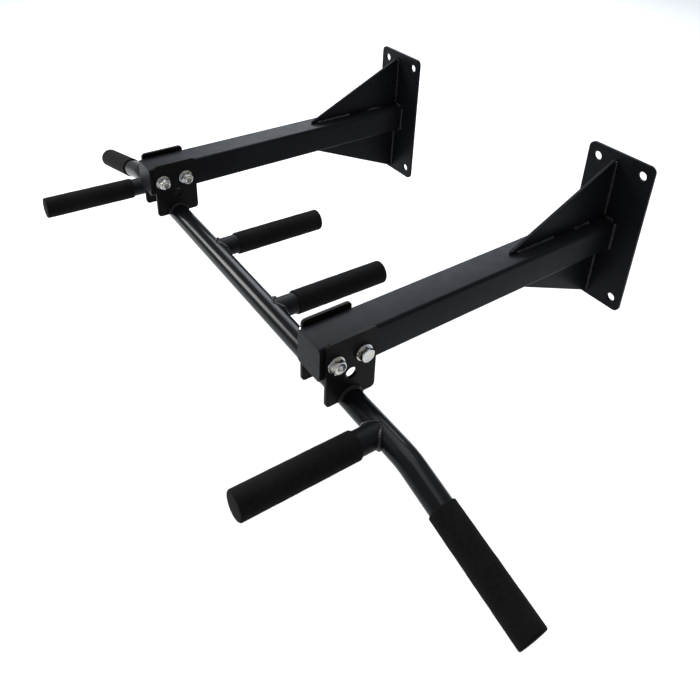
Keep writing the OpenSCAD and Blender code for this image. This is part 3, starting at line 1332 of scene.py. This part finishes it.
def bead_object(name: str, beads: Sequence[WeldBead], sharp_degrees: float = 80.0) -> bpy.types.Object:
    """Puts beads into one object, with their ripples left smooth.

    Args:
        name: The piece's name.
        beads: The beads.
        sharp_degrees: Edges that turn by more than this stay sharp.

    Returns:
        The linked object.
    """
    return make_object(name, [bead.shell() for bead in beads], sharp_degrees)


@dataclass
class ArmWelds:
    """All beads of one arm: gussets, wall plate and clamp plates.

    A stitch is a short bead along the arm, given by how far its ends lie from the upper
    gusset's tip.
    """

    arm: ArmPlace
    bar: BarPlace
    crossing: float = 3.0 * MM
    upper_gap: float = 2.0 * MM
    lower_gap: float = 4.0 * MM
    flank_gap: float = 1.0 * MM
    upper_stitches: tuple[Pair, ...] = ((10.0 * MM, 88.0 * MM), (131.0 * MM, 168.0 * MM))
    lower_stitches: tuple[Pair, ...] = ((12.0 * MM, 60.0 * MM), (120.0 * MM, 170.0 * MM))
    blob: float = 0.25
    top_blob: float = 0.45
    full_blob: float = 0.5
    clamp_sweep: Pair = (2.0, 178.0)
    clamp_width: float = 4.0 * MM
    clamp_height: float = 3.4 * MM
    bracket_seed: int = 40
    clamp_seed: int = 70

    def bracket_beads(self) -> list[WeldBead]:
        """Beads between wall plate, arm and gussets, each a straight run to its fuller end.

        Returns:
            The beads.
        """
        a = self.arm
        wall, top, low = a.tube.high[1], a.tube.high[2], a.tube.low[2]
        tall, deep, tip = a.upper.high[2], a.lower.low[2], a.upper.low[1]
        beads: list[WeldBead] = []
        for sign in (-1.0, 1.0):
            face = a.tube.middle[0] + sign * (a.upper.high[0] - a.upper.low[0]) / 2
            flank = a.tube.high[0] if sign > 0 else a.tube.low[0]
            near, far = face + sign * self.crossing, flank - sign * self.crossing
            side, above, below = (sign, -1, 0), (sign, 0, 1), (sign, 0, -1)
            upper = (((face, tip + p, top), (face, tip + q, top)) for p, q in self.upper_stitches)
            lower = (((face, tip + p, low), (face, tip + q, low)) for p, q in self.lower_stitches)
            rise = (tall - self.upper_gap, top + self.crossing)
            drop = (deep + self.lower_gap, low - self.crossing)
            tube = (low + self.flank_gap, top - self.flank_gap)
            runs = [
                ((face, wall, rise[0]), (face, wall, rise[1]), side, self.full_blob),
                ((face, wall, drop[0]), (face, wall, drop[1]), side, self.blob),
                ((flank, wall, tube[0]), (flank, wall, tube[1]), side, self.full_blob),
                *((*ends, above, self.blob) for ends in upper),
                *((*ends, below, self.blob) for ends in lower),
                ((near, wall, top), (far, wall, top), (0, -1, 1), self.top_blob),
                ((near, wall, low), (far, wall, low), (0, -1, -1), self.blob),
            ]
            seed = self.bracket_seed + int(sign) + 10 * a.side.value
            for number, (start, end, out, blob) in enumerate(runs, start=seed):
                path = np.linspace(start, end, 12)
                beads.append(WeldBead(path, np.array(out, float), seed=number, blob=blob))
        return beads

    def clamp_beads(self) -> list[WeldBead]:
        """Beads between the clamp plates and the top half of the bar.

        Each is an arc of the bar's radius in the plane of a plate's face.

        Returns:
            The beads.
        """
        t = np.radians(np.linspace(*self.clamp_sweep, 60))
        around = np.stack([np.zeros_like(t), -np.cos(t), np.sin(t)], -1)
        size = (self.clamp_width, self.clamp_height)
        beads = []
        for number, plate in enumerate((self.arm.outer, self.arm.inner)):
            for sign, x in ((-1.0, plate.low[0]), (1.0, plate.high[0])):
                path = around * self.bar.radius + np.array([x, *self.bar.middle[1:]])
                seed = self.clamp_seed + number * 4 + int(sign) + 20 * self.arm.side.value
                beads.append(WeldBead(path, around + np.array([sign, 0, 0]), *size, seed=seed))
        return beads

    def build(self, shop: Workshop) -> None:
        """Makes this arm's beads.

        Args:
            shop: Where they are dressed.
        """
        kinds = (
            ("bracket", self.bracket_beads(), Finish.BRACKET_WELD),
            ("clamp", self.clamp_beads(), Finish.CLAMP_WELD),
        )
        for kind, beads, finish in kinds:
            name = f"{self.arm.side.word}_{kind}_weld_beads"
            shop.hand_over(bead_object(name, beads), finish)


@dataclass
class GripWelds:
    """A saddle-shaped bead round the root of each of the four hand grips."""

    place: BarPlace
    width: float = 4.4 * MM
    height: float = 4.6 * MM
    soften: float = 2.2 * MM
    crown: float = 0.03
    fall: float = 0.8
    first_seed: int = 90
    around: np.ndarray = field(default_factory=lambda: np.linspace(0, 2 * math.pi, 241))

    def path(self, side: Side, reach: Reach) -> tuple[np.ndarray, np.ndarray]:
        """Where a grip's tube meets the bar of the same radius.

        At angle t round the grip, the curve lies radius * cos(t) along X, radius * sin(t) up,
        and out from the bar by the root of the sum of (radius * cos(t))^2 and soften^2.

        Args:
            side: The grip's side.
            reach: Which grip.

        Returns:
            The closed path and the way out of the corner along it.
        """
        b = self.place
        x, z = b.radius * np.cos(self.around), b.radius * np.sin(self.around)
        lift = reach.value * np.sqrt(x**2 + self.soften**2)
        flat = np.zeros_like(x)
        out = (np.stack([x, flat, z], -1) + np.stack([flat, lift, z], -1)) / b.radius
        start = np.array([b.grip_x(side, reach), 0.0, 0.0])
        return b.place(np.stack([x, lift, z], -1) + start), b.turn(unit(out))

    def build(self, shop: Workshop) -> None:
        """Makes the four beads, full in the two corners beside the grip and thin over its crown.

        Args:
            shop: Where they are dressed.
        """
        share = self.crown + (1 - self.crown) * np.abs(np.cos(self.around)) ** self.fall
        for side in Side:
            for reach in Reach:
                seed = self.first_seed + 3 * side.value + reach.value
                bead = WeldBead(*self.path(side, reach), self.width, self.height, seed=seed, share=share)
                name = f"{side.word}_{reach.word}_grip_weld_bead"
                shop.hand_over(bead_object(name, [bead]), Finish.BAR_WELD)


# ------------------------------------------------------------------ brackets


@dataclass
class Brackets:
    """Both wall brackets and clamps, with their cut and folded edges eased."""

    plate_edge: float = 0.7 * MM
    tube_edge: float = 0.4 * MM

    def build(self, shop: Workshop) -> None:
        """Eases and paints every flat part of both brackets.

        Args:
            shop: Where they are dressed.
        """
        for side in Side:
            for part in ("wall_plate", "upper_gusset", "lower_gusset"):
                shop.eased(f"{side.word}_{part}", Finish.BRACKET, self.plate_edge)
            shop.eased(f"{side.word}_arm_tube", Finish.BRACKET, self.tube_edge)
            shop.eased(f"{side.word}_arm_end_cap", Finish.BRACKET, self.tube_edge)
            for part in ("outer_clamp_plate", "inner_clamp_plate"):
                shop.eased(f"{side.word}_{part}", Finish.CLAMP, self.plate_edge)


# ------------------------------------------------------------------ studio


@dataclass(frozen=True)
class Viewpoint:
    """The camera: where it stands, how it is turned, and its lens."""

    place: tuple[float, float, float] = (0.81300, -0.90347, 0.59280)
    azimuth: float = 54.399
    elevation: float = 29.564
    roll: float = 2.085
    lens: float = 37.0962
    shift: Pair = (0.00858, -0.22186)
    sensor: float = 36.0
    clip: Pair = (0.05, 50.0)

    def build(self) -> None:
        """Makes the camera and sets it as the scene's own.

        The camera's back is (sin a cos e, -cos a cos e, sin e) for azimuth a and elevation e,
        and its level axes are turned by the roll.
        """
        a, e, r = (math.radians(v) for v in (self.azimuth, self.elevation, self.roll))
        back = Vector((math.sin(a) * math.cos(e), -math.cos(a) * math.cos(e), math.sin(e)))
        level = Vector((math.cos(a), math.sin(a), 0.0))
        up = back.cross(level)
        right = math.cos(r) * level + math.sin(r) * up
        top = -math.sin(r) * level + math.cos(r) * up
        data = bpy.data.cameras.new("camera")
        data.sensor_fit, data.sensor_width = "HORIZONTAL", self.sensor
        data.lens = self.lens
        data.shift_x, data.shift_y = self.shift
        data.clip_start, data.clip_end = self.clip
        data.dof.use_dof = False
        camera = bpy.data.objects.new("camera", data)
        bpy.context.scene.collection.objects.link(camera)
        turn = Matrix((right, top, back)).transposed().to_4x4()
        camera.matrix_world = Matrix.Translation(self.place) @ turn
        bpy.context.scene.camera = camera


@dataclass(frozen=True)
class SoftBox:
    """One rectangular studio lamp, aimed at a point."""

    name: str
    place: tuple[float, float, float]
    aim: tuple[float, float, float]
    size: Pair
    power: float
    colour: Colour = (1.0, 1.0, 1.0)

    def build(self) -> None:
        """Makes the lamp."""
        data = bpy.data.lights.new(self.name, "AREA")
        data.shape = "RECTANGLE"
        data.size, data.size_y = self.size
        data.energy = self.power
        data.color = self.colour
        lamp = bpy.data.objects.new(self.name, data)
        bpy.context.scene.collection.objects.link(lamp)
        lamp.location = self.place
        lamp.rotation_euler = (Vector(self.aim) - Vector(self.place)).to_track_quat("-Z", "Y").to_euler()


@dataclass
class Studio:
    """Pale floor, soft lamps and a dim even surround."""

    floor_drop: float = 0.30
    floor_half: float = 60.0
    floor_lines: int = 41
    paper: tuple[Colour, Colour] = ((0.80, 0.80, 0.80), (0.84, 0.84, 0.84))
    sky: tuple[float, ...] = (0.95, 0.97, 1.0, 1.0)
    surround: float = 0.55
    lamps: tuple[SoftBox, ...] = (
        SoftBox(
            "overhead softbox", (-0.4, -0.3, 2.6), (-0.1, -0.2, 0.0), (2.4, 2.0), 58.0, (0.96, 0.98, 1.0)
        ),
        SoftBox("front left softbox", (-1.7, -1.8, 1.0), (0.0, -0.5, -0.05), (0.7, 0.9), 48.0),
        SoftBox("back softbox", (-2.6, 1.7, 2.0), (0.0, -0.3, 0.0), (2.4, 1.8), 105.0, (0.84, 0.91, 1.0)),
    )

    def floor_material(self) -> bpy.types.Material:
        """Pale matt paper with the faintest mottling.

        Returns:
            The material.
        """
        r = Recipe("studio floor")
        colour = r.tint(r.noise(1.5, 2.0), *self.paper)
        return r.surface(Base_Color=colour, Roughness=0.9, Specular_IOR_Level=0.1)

    def build(self, lowest: float) -> None:
        """Makes the floor, the lamps and the surround.

        Args:
            lowest: Height of the object's lowest point.
        """
        mesh = bpy.data.meshes.new("floor")
        line = np.linspace(-self.floor_half, self.floor_half, self.floor_lines)
        x, y = np.meshgrid(line, line)
        z = np.full_like(x, lowest - self.floor_drop)
        number = np.arange(x.size).reshape(x.shape)
        quads = np.stack([number[:-1, :-1], number[:-1, 1:], number[1:, 1:], number[1:, :-1]], -1)
        places = np.stack([x, y, z], -1).reshape(-1, 3)
        mesh.from_pydata(places.tolist(), [], quads.reshape(-1, 4).tolist())
        mesh.materials.append(self.floor_material())
        floor = bpy.data.objects.new("floor", mesh)
        bpy.context.scene.collection.objects.link(floor)
        floor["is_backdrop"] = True
        for lamp in self.lamps:
            lamp.build()
        world = bpy.data.worlds.new("studio surround")
        world.use_nodes = True
        back = world.node_tree.nodes["Background"]
        back.inputs["Color"].default_value = self.sky
        back.inputs["Strength"].default_value = self.surround
        bpy.context.scene.world = world
        bpy.context.scene.view_settings.view_transform = "Standard"
        bpy.context.scene.view_settings.look = "None"


def main() -> None:
    """Builds every piece in order and reports each one."""
    logging.basicConfig(level=logging.INFO, format="%(name)s: %(message)s")
    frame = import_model()
    solid_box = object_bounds()
    Viewpoint().build()
    shop = Workshop(frame["nodes"])
    bar = BarPlace.read()
    arms = [ArmPlace.read(side) for side in Side]
    Brackets().build(shop)
    MainBar(bar).build(shop)
    Grips(bar).build(shop)
    for arm in arms:
        ClampBolts(arm).build(shop)
        ArmWelds(arm, bar).build(shop)
    GripWelds(bar).build(shop)
    Studio().build(float(solid_box[0].z))
    bpy.context.view_layer.update()


if __name__ == "__main__":
    main()
